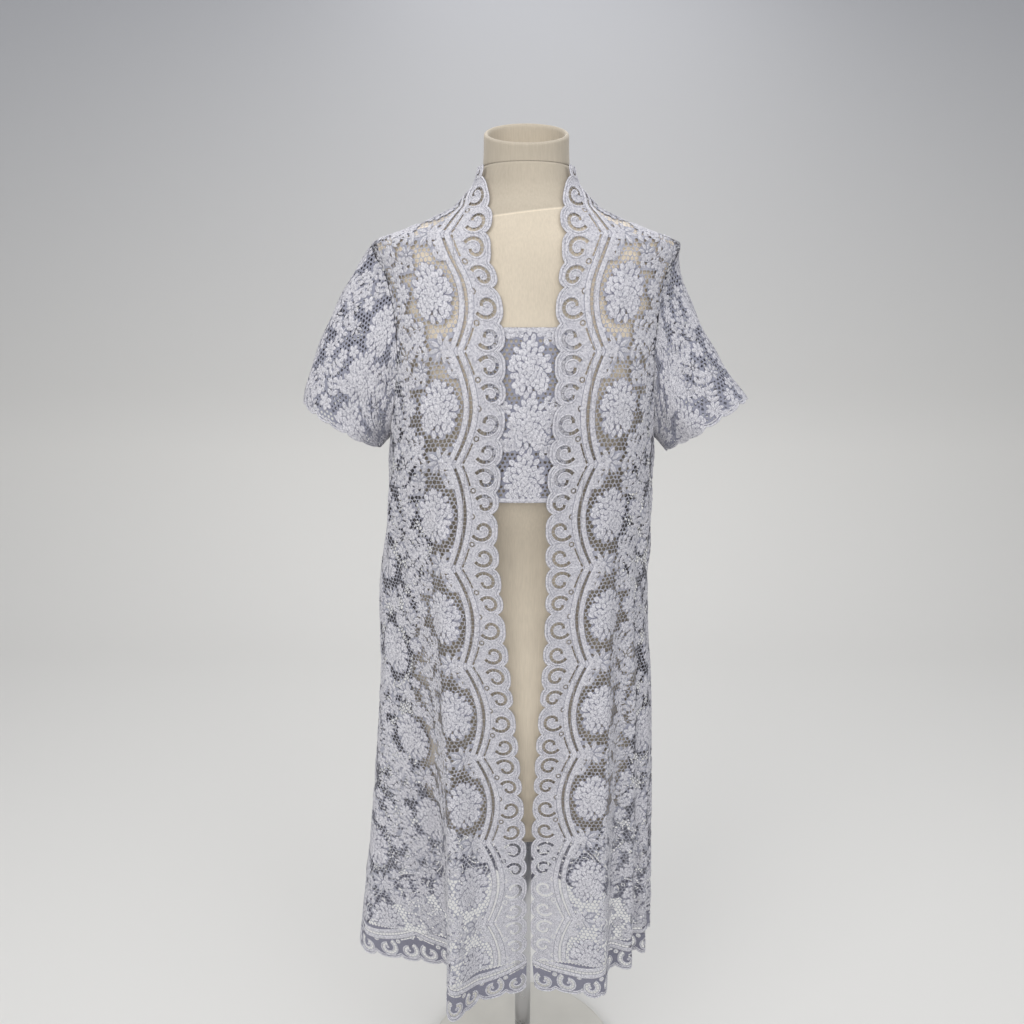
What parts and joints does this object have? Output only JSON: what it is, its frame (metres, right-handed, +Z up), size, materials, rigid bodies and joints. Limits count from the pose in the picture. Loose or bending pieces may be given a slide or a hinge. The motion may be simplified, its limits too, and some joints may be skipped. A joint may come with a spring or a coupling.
{
  "type": "kebaya blouse on a limbless dress form",
  "caption": "Long open-front lace kebaya blouse with short sleeves, scalloped borders and a centre panel, on a dress form with a pole and a round foot.",
  "frame": {"origin": "centre of the foot's underside, on the floor", "axes": "+Z up, the blouse's front faces -Y, the wearer's left is at +X"},
  "size_m": [0.57, 0.33, 1.459],
  "materials": {
    "lace": "soft corded lace on open net, pale lavender grey",
    "border_lace": "closer scalloped lace border, pale lavender grey",
    "band_lace": "scalloped lace band, a little bluer",
    "panel_lace": "flowered lace, doubled",
    "sleeve_lace": "flowered lace on net",
    "jersey": "cream stretch jersey, fine rib",
    "pole_steel": "brushed steel tube",
    "foot_paint": "satin off-white paint"
  },
  "bodies": {
    "root": {"front_right": "lace", "front_left": "lace", "back": "lace", "border_right": "border_lace", "border_left": "border_lace", "border_back_neck": "border_lace", "hem_band_right": "band_lace", "hem_band_left": "band_lace", "hem_band_back": "band_lace", "centre_panel": "panel_lace", "sleeve_right_front": "sleeve_lace", "sleeve_right_back": "sleeve_lace", "sleeve_left_front": "sleeve_lace", "sleeve_left_back": "sleeve_lace", "form_torso": "jersey", "form_neck": "jersey", "form_pole": "pole_steel", "form_foot": "foot_paint"}
  },
  "joints": []
}
